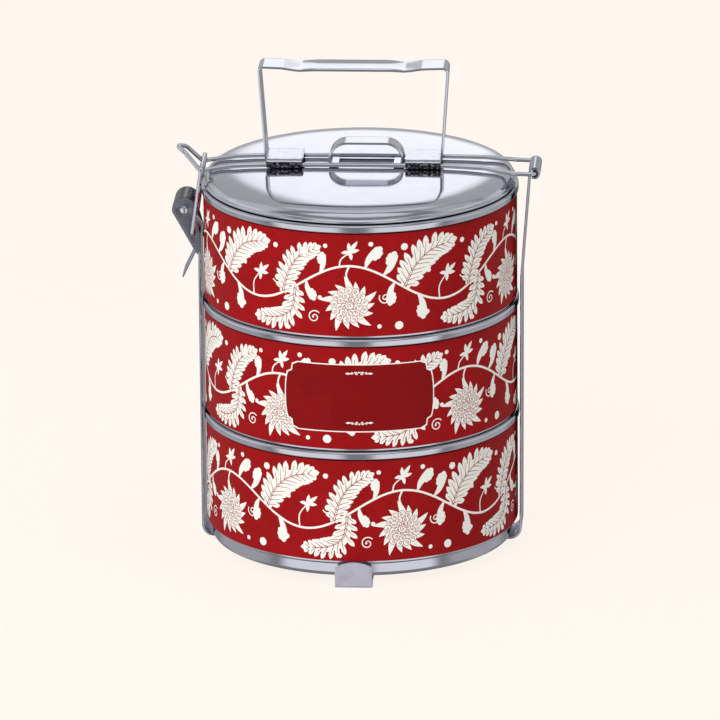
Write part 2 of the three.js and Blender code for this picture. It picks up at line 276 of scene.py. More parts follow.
def strip(name, line, width, material, thickness=SHEET, across="y", across_steps=8, warp=None):
    """A bent sheet strip. line is its middle, in XZ for across y, or in YZ for across x. width may be a
    function of the point. warp(u, v, point) may move a section's point, and gives (across, through)."""
    sections = []
    for i, here in enumerate(line):
        here = Vector(here)
        before = Vector(line[max(i - 1, 0)])
        after = Vector(line[min(i + 1, len(line) - 1)])
        first = (here - before).normalized() if i else (after - here).normalized()
        last = (after - here).normalized() if i < len(line) - 1 else first
        along = (first + last).normalized()
        normal = Vector((-along.y, along.x)) / max(along.dot(first), 0.3)
        wide = width(here) if callable(width) else width
        ring = []
        for u, v in sheet_section(wide, thickness, across_steps):
            if warp:
                u, v = warp(u, v, here)
            p = here + normal * v
            ring.append((p.x, u, p.y) if across == "y" else (u, p.x, p.y))
        sections.append(ring)
    vertices, faces = swept(sections)
    return outward(make(name, vertices, faces, [material], 50))


def plate(name, outline, holes, thickness, y, material):
    """A flat sheet in XZ at y, from a closed outline and round holes, with softened edges."""
    bevel = 0.12
    curve = bpy.data.curves.new(name, "CURVE")
    curve.dimensions = "2D"
    curve.fill_mode = "BOTH"
    curve.extrude = (thickness / 2 - bevel) * MM
    curve.bevel_depth = bevel * MM
    curve.bevel_resolution = 2
    curve.offset = -bevel * MM
    loops = [outline] + [arc(x, z, r, 0, 352, 44) for x, z, r in holes]
    for loop in loops:
        spline = curve.splines.new("POLY")
        spline.points.add(len(loop) - 1)
        for point, (x, z) in zip(spline.points, loop):
            point.co = (x * MM, z * MM, 0, 1)
        spline.use_cyclic_u = True
    made = bpy.data.objects.new(name + "_curve", curve)
    bpy.context.scene.collection.objects.link(made)
    mesh = bpy.data.meshes.new_from_object(made.evaluated_get(bpy.context.evaluated_depsgraph_get()))
    bpy.data.objects.remove(made)
    for vertex in mesh.vertices:
        x, z, up = vertex.co
        vertex.co = (x, up + y * MM, z)
    mesh.materials.clear()
    mesh.materials.append(material)
    piece = bpy.data.objects.new(name, mesh)
    bpy.context.scene.collection.objects.link(piece)
    piece = outward(piece)
    mesh.polygons.foreach_set("use_smooth", [True] * len(mesh.polygons))
    mesh.set_sharp_from_angle(angle=math.radians(35))
    return piece


def joined(name, pieces):
    """One object holding the meshes of several."""
    for piece in bpy.context.selected_objects:
        piece.select_set(False)
    for piece in pieces:
        piece.select_set(True)
    bpy.context.view_layer.objects.active = pieces[0]
    bpy.ops.object.join()
    pieces[0].name = name
    return pieces[0]


# Materials


class Nodes:
    """A short way to write a material's nodes."""

    def __init__(self, name, **sockets):
        self.material = bpy.data.materials.new(name)
        self.material.use_nodes = True
        self.tree = self.material.node_tree
        self.shader = self.tree.nodes["Principled BSDF"]
        for socket, value in sockets.items():
            self.shader.inputs[socket.replace("_", " ")].default_value = value
        self.place = self.add("ShaderNodeTexCoord").outputs["Object"]

    def add(self, kind, **settings):
        node = self.tree.nodes.new(kind)
        for key, value in settings.items():
            if hasattr(node, key):
                setattr(node, key, value)
            else:
                node.inputs[key.replace("_", " ")].default_value = value
        return node

    def link(self, source, target):
        self.tree.links.new(source, target)

    def scaled(self, x, y, z):
        node = self.add("ShaderNodeMapping", Scale=(x, y, z))
        self.link(self.place, node.inputs["Vector"])
        return node.outputs["Vector"]

    def noise(self, scale, detail=4.0, vector=None, roughness=0.5):
        node = self.add("ShaderNodeTexNoise", Scale=scale, Detail=detail, Roughness=roughness)
        self.link(vector or self.place, node.inputs["Vector"])
        return node.outputs["Fac"]

    def times_plus(self, source, factor, extra):
        """source * factor + extra, where factor is a number and the others are sockets."""
        node = self.add("ShaderNodeMath", operation="MULTIPLY_ADD")
        self.link(source, node.inputs[0])
        node.inputs[1].default_value = factor
        self.link(extra, node.inputs[2])
        return node.outputs[0]

    def ramp(self, source, stops):
        """stops are (position, value or colour)."""
        node = self.add("ShaderNodeValToRGB")
        elements = node.color_ramp.elements
        while len(elements) < len(stops):
            elements.new(0.5)
        for element, (position, value) in zip(elements, stops):
            element.position = position
            element.color = (*value, 1) if isinstance(value, tuple) else (value, value, value, 1)
        self.link(source, node.inputs["Fac"])
        return node.outputs["Color"]

    def bump(self, height, distance, strength=1.0, before=None):
        node = self.add("ShaderNodeBump", Strength=strength, Distance=distance)
        self.link(height, node.inputs["Height"])
        if before:
            self.link(before, node.inputs["Normal"])
        return node.outputs["Normal"]

    def use(self, source, socket):
        self.link(source, self.shader.inputs[socket])


def darker(colour, share):
    return tuple(c * share for c in colour)


STEEL = (0.60, 0.605, 0.66)


def polished_steel(name, smear, colour=STEEL, wear=1.0, dark_below=None, metallic=1.0, specular=0.5):
    """Polished stainless sheet: clear reflections, a trace of polishing haze, hairlines and finger wear.
    Below the height dark_below, if given, it is darker in patches."""
    nodes = Nodes(name, Base_Color=(*colour, 1), Metallic=metallic, Roughness=smear,
                  Specular_IOR_Level=specular)
    haze = nodes.noise(90, 5)
    hair = nodes.noise(40, 6, nodes.scaled(6, 6, 220), 0.7)
    uneven = nodes.times_plus(haze, 0.5, hair)
    nodes.use(nodes.ramp(uneven, [(0.45, smear * 0.7), (1.0, smear * 1.5)]), "Roughness")
    tint = nodes.ramp(haze, [(0.3, darker(colour, 0.93)), (0.7, colour)])
    if dark_below:
        tint = darkened_below(nodes, dark_below, tint, colour)
    nodes.use(tint, "Base Color")
    wave = nodes.bump(nodes.noise(28 * wear ** 2, 2), 0.0002, 0.5 * min(wear, 2))
    nodes.use(nodes.bump(hair, 0.00002, 0.5, wave), "Normal")
    return nodes.material


def darkened_below(nodes, height, clean, colour):
    """The clean tint above a height, and darker patches over the colour below it."""
    split = nodes.add("ShaderNodeSeparateXYZ")
    nodes.link(nodes.place, split.inputs["Vector"])
    lower = nodes.add("ShaderNodeMath", operation="LESS_THAN")
    nodes.link(split.outputs["Z"], lower.inputs[0])
    lower.inputs[1].default_value = height * MM
    dark_patches = nodes.ramp(nodes.noise(900, 3), [(0.5, (0.05, 0.05, 0.06)), (0.66, colour)])
    either = nodes.add("ShaderNodeMixRGB")
    nodes.link(lower.outputs[0], either.inputs["Fac"])
    nodes.link(clean, either.inputs["Color1"])
    nodes.link(dark_patches, either.inputs["Color2"])
    return either.outputs["Color"]


def pressed_steel(name, colour, roughness, metallic, depth):
    """Matt pressed sheet with a fine grain and small pits."""
    nodes = Nodes(name, Base_Color=(*colour, 1), Metallic=metallic, Roughness=roughness)
    cloud = nodes.noise(160, 4)
    pits = nodes.noise(900, 6)
    nodes.use(nodes.ramp(cloud, [(0.3, darker(colour, 0.82)), (0.72, colour)]), "Base Color")
    nodes.use(nodes.ramp(pits, [(0.3, roughness * 0.8), (0.7, roughness * 1.3)]), "Roughness")
    nodes.use(nodes.bump(pits, depth), "Normal")
    return nodes.material


def knurled_steel(name, colour):
    """The latch lever's sheet, satin with fine pressed rows."""
    nodes = Nodes(name, Base_Color=(*colour, 1), Metallic=0.95, Roughness=0.3)
    rows = nodes.add("ShaderNodeTexWave", wave_type="BANDS", bands_direction="Z", Scale=260.0,
                     Distortion=1.5, Detail_Scale=3.0)
    nodes.link(nodes.place, rows.inputs["Vector"])
    cloud = nodes.noise(300, 4)
    nodes.use(nodes.ramp(cloud, [(0.3, darker(colour, 0.7)), (0.7, colour)]), "Base Color")
    nodes.use(nodes.ramp(cloud, [(0.3, 0.24), (0.7, 0.42)]), "Roughness")
    grain = nodes.bump(cloud, 0.0001, 0.6)
    nodes.use(nodes.bump(rows.outputs["Fac"], 0.00012, 0.6, grain), "Normal")
    return nodes.material


def mottled_film(name, colour, dark, patches):
    """Printed film: angular darker patches over the ground colour, gathered in clouds, and a fine grain."""
    nodes = Nodes(name, Base_Color=(*colour, 1), Roughness=0.5, Specular_IOR_Level=0.08)
    shift = nodes.add("ShaderNodeTexNoise", Scale=120.0, Detail=2.0)
    nodes.link(nodes.place, shift.inputs["Vector"])
    moved = nodes.add("ShaderNodeVectorMath", operation="MULTIPLY_ADD")
    nodes.link(shift.outputs["Color"], moved.inputs[0])
    moved.inputs[1].default_value = (0.006, 0.006, 0.006)
    nodes.link(nodes.place, moved.inputs[2])
    cells = nodes.add("ShaderNodeTexVoronoi", Scale=patches)
    nodes.link(moved.outputs["Vector"], cells.inputs["Vector"])
    split = nodes.add("ShaderNodeSeparateColor")
    nodes.link(cells.outputs["Color"], split.inputs["Color"])
    amount = nodes.times_plus(split.outputs["Red"], 0.45, nodes.noise(26, 3))
    middle = tuple((a + b) / 2 for a, b in zip(colour, dark))
    shade = nodes.ramp(amount, [(0.52, colour), (0.6, middle), (0.78, middle), (0.92, dark)])
    nodes.use(shade, "Base Color")
    nodes.use(nodes.ramp(nodes.noise(900, 3), [(0.3, 0.42), (0.7, 0.56)]), "Roughness")
    nodes.use(nodes.bump(nodes.noise(1500, 2), 0.00002, 0.3), "Normal")
    return nodes.material


def print_ink(name, colour):
    """White ink: nearly even, with a faint paper-like grain."""
    nodes = Nodes(name, Base_Color=(*colour, 1), Roughness=0.55, Specular_IOR_Level=0.1)
    cloud = nodes.noise(700, 4)
    nodes.use(nodes.ramp(cloud, [(0.3, darker(colour, 0.95)), (0.6, colour)]), "Base Color")
    nodes.use(nodes.bump(nodes.noise(1500, 2), 0.00002, 0.3), "Normal")
    return nodes.material


RED = (0.357, 0.0064, 0.0081)
RED_DARK = (0.308, 0.0056, 0.0071)
PLAQUE = (0.250, 0.0050, 0.0064)
steel = polished_steel("polished_sheet", 0.055)
lid_steel = polished_steel("polished_lid", 0.06)
wire_steel = polished_steel("drawn_wire", 0.1, (0.66, 0.665, 0.72))
# The lug is darker in patches below LUG_Z - 0.6, on its folds.
hammered_steel = polished_steel("hammered_lug", 0.12, wear=4.0, dark_below=LUG_Z - 0.6)
strap_steel = polished_steel("strap_sheet", 0.09, (0.42, 0.425, 0.48))
# The rolled top of the latch web is steel; its near-black colour is a painted dark reflection.
web_painted_dark_reflection = polished_steel("latch_web_painted_dark_reflection", 0.16, (0.012, 0.012, 0.014), metallic=0.0, specular=0.2)
latch_steel = knurled_steel("pressed_latch", (0.26, 0.267, 0.315))
tail_steel = pressed_steel("satin_latch_tail", (0.34, 0.36, 0.44), 0.45, 0.5, 0.00006)
foot_steel = pressed_steel("matt_foot", (0.60, 0.58, 0.66), 0.6, 0.35, 0.0001)
red_film = mottled_film("red_print", RED, RED_DARK, 230.0)
plaque_film = mottled_film("plaque_print", PLAQUE, darker(PLAQUE, 0.9), 90.0)
white_ink = print_ink("white_print", (0.98, 0.962, 0.87))


# Bowls, lid and frame


def bowl(tier):
    inner = WALL_RADIUS - WALL
    outline = rounded([
        (0, 1.6), (50, 1.6, 2.5), (53, 0, 2.5), (67.6, 0, 1.4), (68.3, 2, 0.8), (68.3, 6, 0.4),
        (WALL_RADIUS, 6.8, 0.5), (WALL_RADIUS, 54.9, 0.5), (RIM_RADIUS, 55.5, 0.6),
        (RIM_RADIUS, BOWL_HEIGHT, 1.2), (inner, BOWL_HEIGHT, 0.6), (inner, 7.7, 1), (67.5, 6.6, 1),
        (67.3, 0.8, 1.4), (53.3, 0.8, 1.7), (50.2, 2.4, 1.7), (0, 2.4),
    ], 2, 6)
    piece = turned(f"bowl_{tier}_fine", [(r, BASE[tier] + z) for r, z in outline], steel, sharp=55)
    settle(piece, f"{tier}_tier", "polished_steel", f"bowl_{tier}")


def lid_shell():
    inside = LID_NECK_RADIUS - LID_SHEET
    dome = smooth([(0, LID_HEIGHT), (20, 8.38), (35, 8.25), (45, 8), (52, 7.7), (58, 7.3), (63, 6.65),
                   (66, 5.9), (68, 4.7), (69, 3.2), (69.3, 2.2)], 6)
    bead = arc(69.2, 1.2, 0.8, 60, -90, 12)
    skirt = rounded([bead[-1], (LID_NECK_RADIUS, 0.4, 0.3), (LID_NECK_RADIUS, -LID_NECK_DEPTH, 0.4),
                     (inside, -LID_NECK_DEPTH, 0.3), (inside, 3.6)], 2, 6)
    ceiling = [(r - 0.6, z - LID_SHEET) for r, z in dome[6:-12]][::-1]
    outline = [tuple(p) for p in dome] + bead[1:-1] + skirt + ceiling + [(0, LID_HEIGHT - LID_SHEET)]
    piece = turned("lid_shell_fine", [(r, TOP + z) for r, z in outline], lid_steel, 320, sharp=60)
    settle(piece, "lid", "polished_steel", "lid_shell")


def lid_handle():
    foot, top = TOP + LID_HEIGHT + GAP + SHEET / 2, TOP + 18.7
    left, right, toe = -13.2, 19.4, 4.0
    line = rounded([(left + toe, foot), (left, foot, 1.2), (left, top, 7.8), (right, top, 7.8),
                    (right, foot, 1.2), (right - toe, foot)], 2, 10)
    piece = strip("lid_handle_fine", line, 10.5, steel)
    settle(piece, "lid", "polished_steel", "lid_handle")


def carrier_strap():
    eye = arc(PIVOT.x, PIVOT.z, ROLL_RADIUS, 0, 290, 24)
    barrel = arc(HINGE.x, HINGE.z, ROLL_RADIUS, 180, -120, 26)
    side = rounded([eye[0], (eye[0][0], PIVOT.z - 2.5, 3), (-STRAP_X, PIVOT.z - 11, 4),
                    (-STRAP_X, STRAP_Z, 5), (STRAP_X, STRAP_Z, 5), (STRAP_X + 0.6, 126, 40),
                    barrel[0]], 2, 10)
    line = spaced(eye[:0:-1] + side + barrel[1:], 6)
    neck = 3.0  # height over which the strap narrows to the tongue

    def width(point):
        narrow = clamped((point.y - (TONGUE_START - neck)) / neck) if point.x < 0 else 0
        return STRAP_WIDTH - (STRAP_WIDTH - TONGUE_WIDTH) * narrow

    piece = strip("carrier_strap_fine", line, width, strap_steel)
    settle(piece, "frame", "polished_steel", "carrier_strap")


def foot_strip():
    low_z, bend_top = 0.5, 2.2
    half = [(FOOT_FACE_Y - 3.2, STRAP_Z - SHEET - GAP, 1.2), (FOOT_FACE_Y - 2.6, low_z, 0.7),
            (FOOT_FACE_Y, low_z, 0.7), (FOOT_FACE_Y, bend_top), (FOOT_FACE_Y, FOOT_HEIGHT)]
    line = spaced(rounded(mirrored(half) + half, 2, 8), 3)
    across, rise = FOOT_WIDTH / 2, FOOT_HEIGHT - FOOT_SHOULDER
    crown = (across ** 2 + rise ** 2) / (2 * rise)

    def arched(at):
        """The height of a point of the tab once its top edge is a shallow arch."""
        share = clamped((at.z - bend_top) / (FOOT_HEIGHT - bend_top))
        drop = math.sqrt(max(crown ** 2 - at.x ** 2, 0)) - crown
        return at.z + drop * share

    piece = strip("foot_strip_fine", line, FOOT_WIDTH, foot_steel, across="x", across_steps=16)
    for vertex in piece.data.vertices:
        at = vertex.co / MM
        if abs(at.y) > FOOT_FACE_Y - 1:
            vertex.co.z = arched(at) * MM
    piece.data.update()
    settle(piece, "frame", "dull_steel", "foot_strip")


def rivet_outline(head, shank, under, over, rise):
    """A rivet from end to end, as (radius, height): domed heads below under and above over, and a shank."""
    angles = [math.radians(d) for d in range(0, 90, 15)]
    dome = [(head * math.cos(a), over + rise * math.sin(a)) for a in angles]
    upper = [(shank, over), *dome, (0, over + rise)]
    return [(r, under + over - h) for r, h in upper[::-1]] + upper


def base_rivet(name, x):
    under = STRAP_Z - 1.5 * SHEET - 2 * GAP
    over = STRAP_Z + SHEET / 2 + GAP
    piece = turned(f"base_rivet_{name}_fine", rivet_outline(2.8, 1.5, under, over, 0.9), steel, 48, (x, 0))
    settle(piece, "frame", "polished_steel", f"base_rivet_{name}")


# Latch and arm


def latch_lever():
    roll = arc(PIVOT.x, PIVOT.z, LEVER_RADIUS - LEVER_SHEET / 2, 60, 190, 30)
    tip = (LEVER_TIP.x - 1.3, LEVER_TIP.z + 1.3, 0.8)
    line = rounded([*roll, tip, (LEVER_TAIL.x, LEVER_TAIL.z)], 2, 8)
    # The web's rolled top takes the near-black painted dark reflection; the tail below it is satin steel.
    web = strip("lever_web", line, 2 * CHEEK_INNER_Y + 0.1, web_painted_dark_reflection, LEVER_SHEET)
    web.data.materials.append(tail_steel)
    for face in web.data.polygons:
        face.material_index = int(face.center.z < roll[-1][1] * MM)
    outline = [*arc(PIVOT.x, PIVOT.z, LEVER_RADIUS, -30, 190, 40), (LEVER_TIP.x - 0.9, LEVER_TIP.z + 0.5),
               (LEVER_TIP.x, LEVER_TIP.z), *CHEEK_FRONT]
    holes = [(PIVOT.x, PIVOT.z, 1.5), (BAIL_HOLE.x, BAIL_HOLE.z, WIRE + GAP)]
    cheeks = [plate(f"lever_cheek_{k}", outline, holes, LEVER_SHEET,
                    side * (CHEEK_INNER_Y + LEVER_SHEET / 2), latch_steel) for k, side in enumerate((-1, 1))]
    settle(joined("latch_lever_fine", [web, *cheeks]), "lever", "latch_steel", "latch_lever")


def latch_rivet():
    face = CHEEK_INNER_Y + LEVER_SHEET + 0.25
    outline = rivet_outline(1.9, 1.2, -face, face, 0.6)
    piece = turned("latch_rivet_fine", outline, wire_steel, 48, (PIVOT.x, PIVOT.z), "y")
    settle(piece, "frame", "polished_steel", "latch_rivet")


def latch_bail():
    near = [(BAIL_HOLE.x, CHEEK_INNER_Y - 0.8, BAIL_HOLE.z), (BAIL_HOLE.x, BAIL_LEG_Y, BAIL_HOLE.z, 1.3),
            (BAIL_BAR.x, BAIL_LEG_Y, BAIL_BAR.z, 2.2)]
    far = [(x, -y, *rest) for x, y, *rest in near][::-1]
    piece = wire("latch_bail_fine", rounded(near + far, 3, 10), wire_steel)
    settle(piece, "bail", "wire_steel", "latch_bail")


def clamp_wire():
    # x, half spacing, height above the top rim, bend radius
    run = [
        (HINGE.x, 5, 7, 0), (HINGE.x, 11.3, 7, 1.3), (70, 11.3, 7.2, 12), (56, 9, 9, 20), (40, 7.9, 9.5, 40),
        (0, 7.9, 9.7, 400), (-40, 7.9, 9.45, 40), (-56, 7.9, 8.9, 30), (-71, 8, 6.5, 2.2), (-77.8, 5, 14, 5),
        (-80.9, 1.7, 15.5, 1.6),
    ]
    near = [(x, -y, TOP + z, r) for x, y, z, r in run]
    far = [(x, y, TOP + z, r) for x, y, z, r in run][::-1]
    piece = wire("clamp_wire_fine", spaced(rounded(near + far, 3, 10), 4), wire_steel)
    settle(piece, "arm", "wire_steel", "clamp_wire")


def carry_handle():
    (left, left_end), (right, right_end) = LUGS
    corner, shoulder, grip = HANDLE_TOP - 0.5, HANDLE_TOP - 0.9, HANDLE_TOP - 2.2
    foot = LUG_Z - 0.05  # a little into the lug, so that no two faces share a plane
    line = spaced(rounded([
        (left_end, foot), (left, foot, 1), (left - 3, corner, 2.2), (-34, shoulder, 12), (-26, grip, 12),
        (20.5, grip, 12), (28.5, shoulder, 12), (right + 3, corner, 2.2), (right, foot, 1),
        (right_end, foot),
    ], 2, 10), 3)

    def crowned(u, v, here):
        """Turns up the long edges of the grip, the back one more."""
        on_top = clamped((here.y - (HANDLE_TOP - 6)) / 2)
        on_grip = clamped((27 - abs(here.x + 2.6)) / 9)
        lift = 1.9 if u > 0 else 0.9
        return u, v + on_top * on_grip * lift * (1.6 * u / HANDLE_WIDTH) ** 2

    body = strip("handle_body", line, HANDLE_WIDTH, steel, warp=crowned, across_steps=12)
    lugs = [lug(outer, inner) for outer, inner in LUGS]
    settle(joined("carry_handle_fine", [body, *lugs]), "arm", "polished_steel", "carry_handle")


def lug(outer, inner):
    """The channel at the foot of a handle leg, folded down outside the two wires."""
    fold_y, fold_z = 9.7, TOP + 8.8
    half = [(fold_y, LUG_Z, 1.6), (fold_y, fold_z)]
    line = spaced(rounded(mirrored(half) + half, 2, 8), 2)
    channel = strip("lug", line, abs(outer - inner) - 0.4, hammered_steel, across="x", across_steps=10)
    for vertex in channel.data.vertices:
        vertex.co.x += (outer + inner) / 2 * MM
    return channel


# Printed pattern: every shape is an outline in (s, z), s along the wall from the middle of the front


class Ink:
    """Shapes in the order that they are printed. The last one that covers a place colours it."""

    def __init__(self):
        self.shapes = []

    def fill(self, outline, colour):
        self.shapes.append((colour, [Vector(p) for p in outline]))


def aimed(angle):
    """Unit vectors along an angle in degrees, and square to it on its left."""
    a = math.radians(angle)
    return Vector((math.cos(a), math.sin(a))), Vector((-math.sin(a), math.cos(a)))


def ahead_of(line, i):
    return line[min(i + 1, len(line) - 1)] - line[max(i - 1, 0)]


def side_of(line, i):
    ahead = ahead_of(line, i)
    return Vector((-ahead.y, ahead.x)).normalized()


def angle_of(direction):
    return math.degrees(math.atan2(direction.y, direction.x))


def stroke(ink, points, start, end, colour="white", steps=7, swell=0.0):
    """A line that narrows from one width to another, and may swell in its middle."""
    line = smooth(points, steps)
    last = len(line) - 1
    left, right = [], []
    for i, p in enumerate(line):
        half = (start + (end - start) * i / last + swell * math.sin(math.pi * i / last)) / 2
        left.append(p + side_of(line, i) * half)
        right.append(p - side_of(line, i) * half)
    ink.fill(left + right[::-1], colour)


def dot(ink, s, z, radius, colour="white"):
    corners = 22
    angles = [2 * math.pi * k / corners for k in range(corners)]
    ink.fill([(s + radius * math.cos(a), z + radius * math.sin(a)) for a in angles], colour)


def petal(ink, base, angle, length, width, bend=0.0, blunt=0.35):
    """A drop shape from its base along an angle in degrees. bend curves it; blunt moves its widest place."""
    along, across = aimed(angle)
    steps = 10
    left, right = [], []
    for i in range(steps + 1):
        t = i / steps
        half = width / 2 * math.sin(math.pi * t ** (1 + blunt)) ** 0.85 if 0 < t < 1 else 0.0
        middle = Vector(base) + along * (length * t) + across * (bend * t * t)
        left.append(middle + across * half)
        right.append(middle - across * half)
    ink.fill(left + right[-2:0:-1], "white")


def curl(ink, s, z, radius, turns, start, hand=1, width=0.55, colour="white"):
    """A spiral line that ends in a small dot."""
    points = []
    steps = int(14 * turns)
    for i in range(steps + 1):
        t = i / steps
        a = math.radians(start) + hand * 2 * math.pi * turns * t
        r = radius * (1 - 0.82 * t)
        points.append((s + r * math.cos(a), z + r * math.sin(a)))
    stroke(ink, points, width, width * 0.8, colour, 2)
    dot(ink, *points[-1], width * 0.9, colour)


def feather(ink, points, width):
    """A long leaf: rounded lobes along both sides of a curved rib, with the rib and veins left red."""
    lobes, bow = 11, 0.14
    line = smooth(points, 12)
    last = len(line) - 1
    stroke(ink, points, width * 0.3, width * 0.12, swell=width * 0.3)
    veins = []
    for i in range(lobes):
        t = (i + 0.2) / lobes
        k = round(t * last)
        heading = angle_of(ahead_of(line, k))
        reach = width * 0.68 * math.sin(math.pi * (0.2 + 0.72 * t)) ** 0.8
        for hand in (1, -1):
            angle = heading + hand * (52 - 24 * t)
            petal(ink, line[k], angle, reach, width * 0.21, hand * reach * bow, blunt=0.75)
            veins.append((line[k], angle, reach, hand))
    petal(ink, line[-4], angle_of(line[-1] - line[-4]), width * 0.4, width * 0.22)
    for at, angle, reach, hand in veins:
        along, across = aimed(angle)
        route = [at + along * (reach * t) + across * (hand * reach * bow * t * t) for t in (0.0, 0.35, 0.7)]
        stroke(ink, route, 0.34, 0.18, "red", 3)
    places = [round(k * last * 0.9 / 6) for k in range(7)]
    for offset in (-0.45, 0.45):
        rib = [line[i] + side_of(line, i) * offset * (1 - k / 7) for k, i in enumerate(places)]
        stroke(ink, rib, 0.3, 0.16, "red", 4)


def comma(ink, base, angle, size, hand):
    """A leaflet like a comma: a thin stalk that swells to a round end, with notches down one side."""
    along, across = aimed(angle)
    across *= hand
    base = Vector(base)
    for t, out, radius in ((0.98, 0.12, 0.12), (0.84, 0.2, 0.13), (0.7, 0.2, 0.12), (0.56, 0.14, 0.1)):
        dot(ink, *(base + along * (size * t) + across * (size * out)), size * radius)
    body = [base, base + along * size * 0.35 - across * size * 0.05, base + along * size * 0.72,
            base + along * size * 1.0 + across * size * 0.04]
    stroke(ink, body, size * 0.05, size * 0.2, swell=size * 0.16, steps=6)


def bud(ink, base, angle, size):
    """A small bud: three pointed petals over a cup, and two turned-back sepals."""
    for turn, share, bend in (
            (30, 0.8, 0.1), (-30, 0.8, -0.1), (0, 1.1, 0), (105, 0.55, 0.2), (-105, 0.55, -0.2)):
        petal(ink, base, angle + turn, size * share, size * 0.3, size * bend, blunt=0.0)
    dot(ink, *base, size * 0.2)


def bloom(ink, s, z, radius, turn, rays):
    """A round flower: flame-like rays, rings of scrolled scallops with red outlines, and a curled heart."""
    centre = Vector((s, z))

    def out(angle, reach):
        return centre + aimed(angle)[0] * radius * reach

    for i in range(rays):
        angle = turn + 360 * i / rays
        length = radius * (0.72 if i % 3 == 0 else 0.52)
        petal(ink, out(angle, 0.42), angle + 14, length, radius * 0.24, radius * 0.17, blunt=-0.25)
    for i in range(rays):
        at = out(turn + 360 * (i + 0.5) / rays, 0.72)
        curl(ink, *at, radius * 0.085, 1.2, turn + 360 * i / rays, width=0.5)
    dot(ink, s, z, radius * 0.64)
    for share, count, size, offset in ((0.62, 13, 0.13, 0), (0.42, 9, 0.12, 0.5), (0.24, 6, 0.1, 0)):
        for i in range(count):
            angle = turn + 360 * (i + offset) / count
            at = out(angle, share - size * 0.4)
            dot(ink, *at, radius * size + 0.2, "red")
            dot(ink, *at, radius * size)
            curl(ink, *at, radius * size * 0.6, 1.1, angle, width=0.24, colour="red")
    dot(ink, s, z, radius * 0.17, "red")
    dot(ink, s, z, radius * 0.17 - 0.25)
    curl(ink, s, z, radius * 0.12, 1.3, turn, width=0.28, colour="red")


def plaque(ink, s, z, width, height):
    """A blank name plate: stepped corners, bowed sides, a fine outline, and a scroll above and below."""

    def edge(inset):
        x, y = width / 2 - inset, height / 2 - inset
        quarter = [(x - 6.2, y), (x - 3.6, y - 1.2), (x - 3.2, y - 4.0), (x - 1.2, y - 5.0),
                   (x - 0.6, y - 7.0), (x - 0.1, y - 11.0), (x, 0)]
        right = quarter + [(p, -q) for p, q in quarter[-2::-1]]
        return [(s + p, z + q) for p, q in right] + [(s - p, z + q) for p, q in right[::-1]]

    ink.fill(edge(-0.25), "white")
    ink.fill(edge(0.25), "plaque")
    for up in (1, -1):
        y = z + up * (height / 2 - 4.1)
        for hand in (1, -1):
            outwards = 90 - hand * 90
            curl(ink, s + hand * 1.3, y, 0.9, 1.2, outwards, hand * up, 0.34)
            curl(ink, s + hand * 3.2, y + up * 0.3, 0.7, 1.1, outwards, -hand * up, 0.3)
            petal(ink, (s + hand * 3.6, y), outwards, 2.6, 0.9, blunt=0.1)
        dot(ink, s, y + up * 0.6, 0.4)


def garland(ink, start, middle, period):
    """One repeat of a tier's border: a wavy stem with a bloom under its crest and leaves round its trough.
    Everything is placed by its share of the repeat and by its height above the middle of the film."""
    swing = 9.0

    def at(share, height):
        return (start + share * period, middle + height)

    def on_stem(share):
        return at(share, swing * math.sin(2 * math.pi * share))

    stroke(ink, [on_stem(k / 12) for k in range(13)], 1.0, 1.0)
    stroke(ink, [on_stem(0.25), at(0.235, 5), at(0.25, 1)], 0.9, 0.7)
    stroke(ink, [on_stem(0.2), at(0.21, 12), at(0.25, 15)], 0.7, 0.5)
    stroke(ink, [on_stem(0.72), at(0.72, -3), at(0.76, 2)], 0.7, 0.5)
    feather(ink, [on_stem(0.53), at(0.58, 7), at(0.67, 14), at(0.8, 17)], 14)
    feather(ink, [on_stem(0.97), at(0.95, -12), at(0.87, -17), at(0.74, -18)], 11)
    feather(ink, [on_stem(0.9), at(0.93, 4), at(0.99, 12), at(1.09, 17)], 11)
    bloom(ink, *at(0.25, -9), 12, 10, 15)
    bud(ink, at(0.25, 15), 55, 6)
    bud(ink, at(0.76, 2), 40, 6)
    for share, turn, size, hand in (
            (0.1, 75, 9, 1), (0.33, 60, 11, -1), (0.42, 55, 11, 1), (0.48, -110, 10, 1), (0.6, -70, 11, -1),
            (0.03, -75, 9, 1)):
        comma(ink, on_stem(share), turn, size, hand)
    for share, height, radius, turn in ((0.07, -15, 3.0, 40), (0.43, -6, 2.8, 150), (0.87, 1, 2.4, 200)):
        curl(ink, *at(share, height), radius, 1.4, turn)
    for share, height, radius in (
            (0.02, 15, 1.8), (0.5, -19, 1.9), (0.13, 18, 1.0), (0.36, 19, 1.1), (0.1, -6, 1.0),
            (0.4, -19, 1.0), (0.66, 5, 1.0), (0.65, -14, 1.1), (0.86, 16, 1.2), (0.93, -21, 1.0),
            (0.53, 17, 1.6)):
        dot(ink, *at(share, height), radius)


def printed_pattern():
    """A garland round each tier, staggered from tier to tier, and the plaque over the middle one."""
    ink = Ink()
    repeats, stagger = 5, 0.37
    period = AROUND / repeats
    for row, tier in enumerate(TIERS):
        z0, z1 = film_heights(tier)
        for number in range(repeats):
            garland(ink, (number + stagger * row) * period, (z0 + z1) / 2, period)
    plaque(ink, 3.1, 88.1, 68.4, 31.1)
    return ink


# Printed film

INKS = ["red", "white", "plaque"]
AROUND = 2 * math.pi * FILM_RADIUS
SEAM = -AROUND / 2
COLUMNS = 144
COLUMN = AROUND / COLUMNS


def film_heights(tier):
    return low(f"print_wrap_{tier}").z, high(f"print_wrap_{tier}").z


def printed_between(ink, z0, z1):
    """The shapes between two heights, repeated a whole turn away where they reach past the seam."""
    printed = []
    for colour, outline in ink.shapes:
        if max(p[1] for p in outline) < z0 or min(p[1] for p in outline) > z1:
            continue
        for turn in (-AROUND, 0, AROUND):
            moved = [(p[0] + turn, p[1]) for p in outline]
            if max(p[0] for p in moved) > SEAM and min(p[0] for p in moved) < -SEAM:
                printed.append((colour, moved))
    return printed


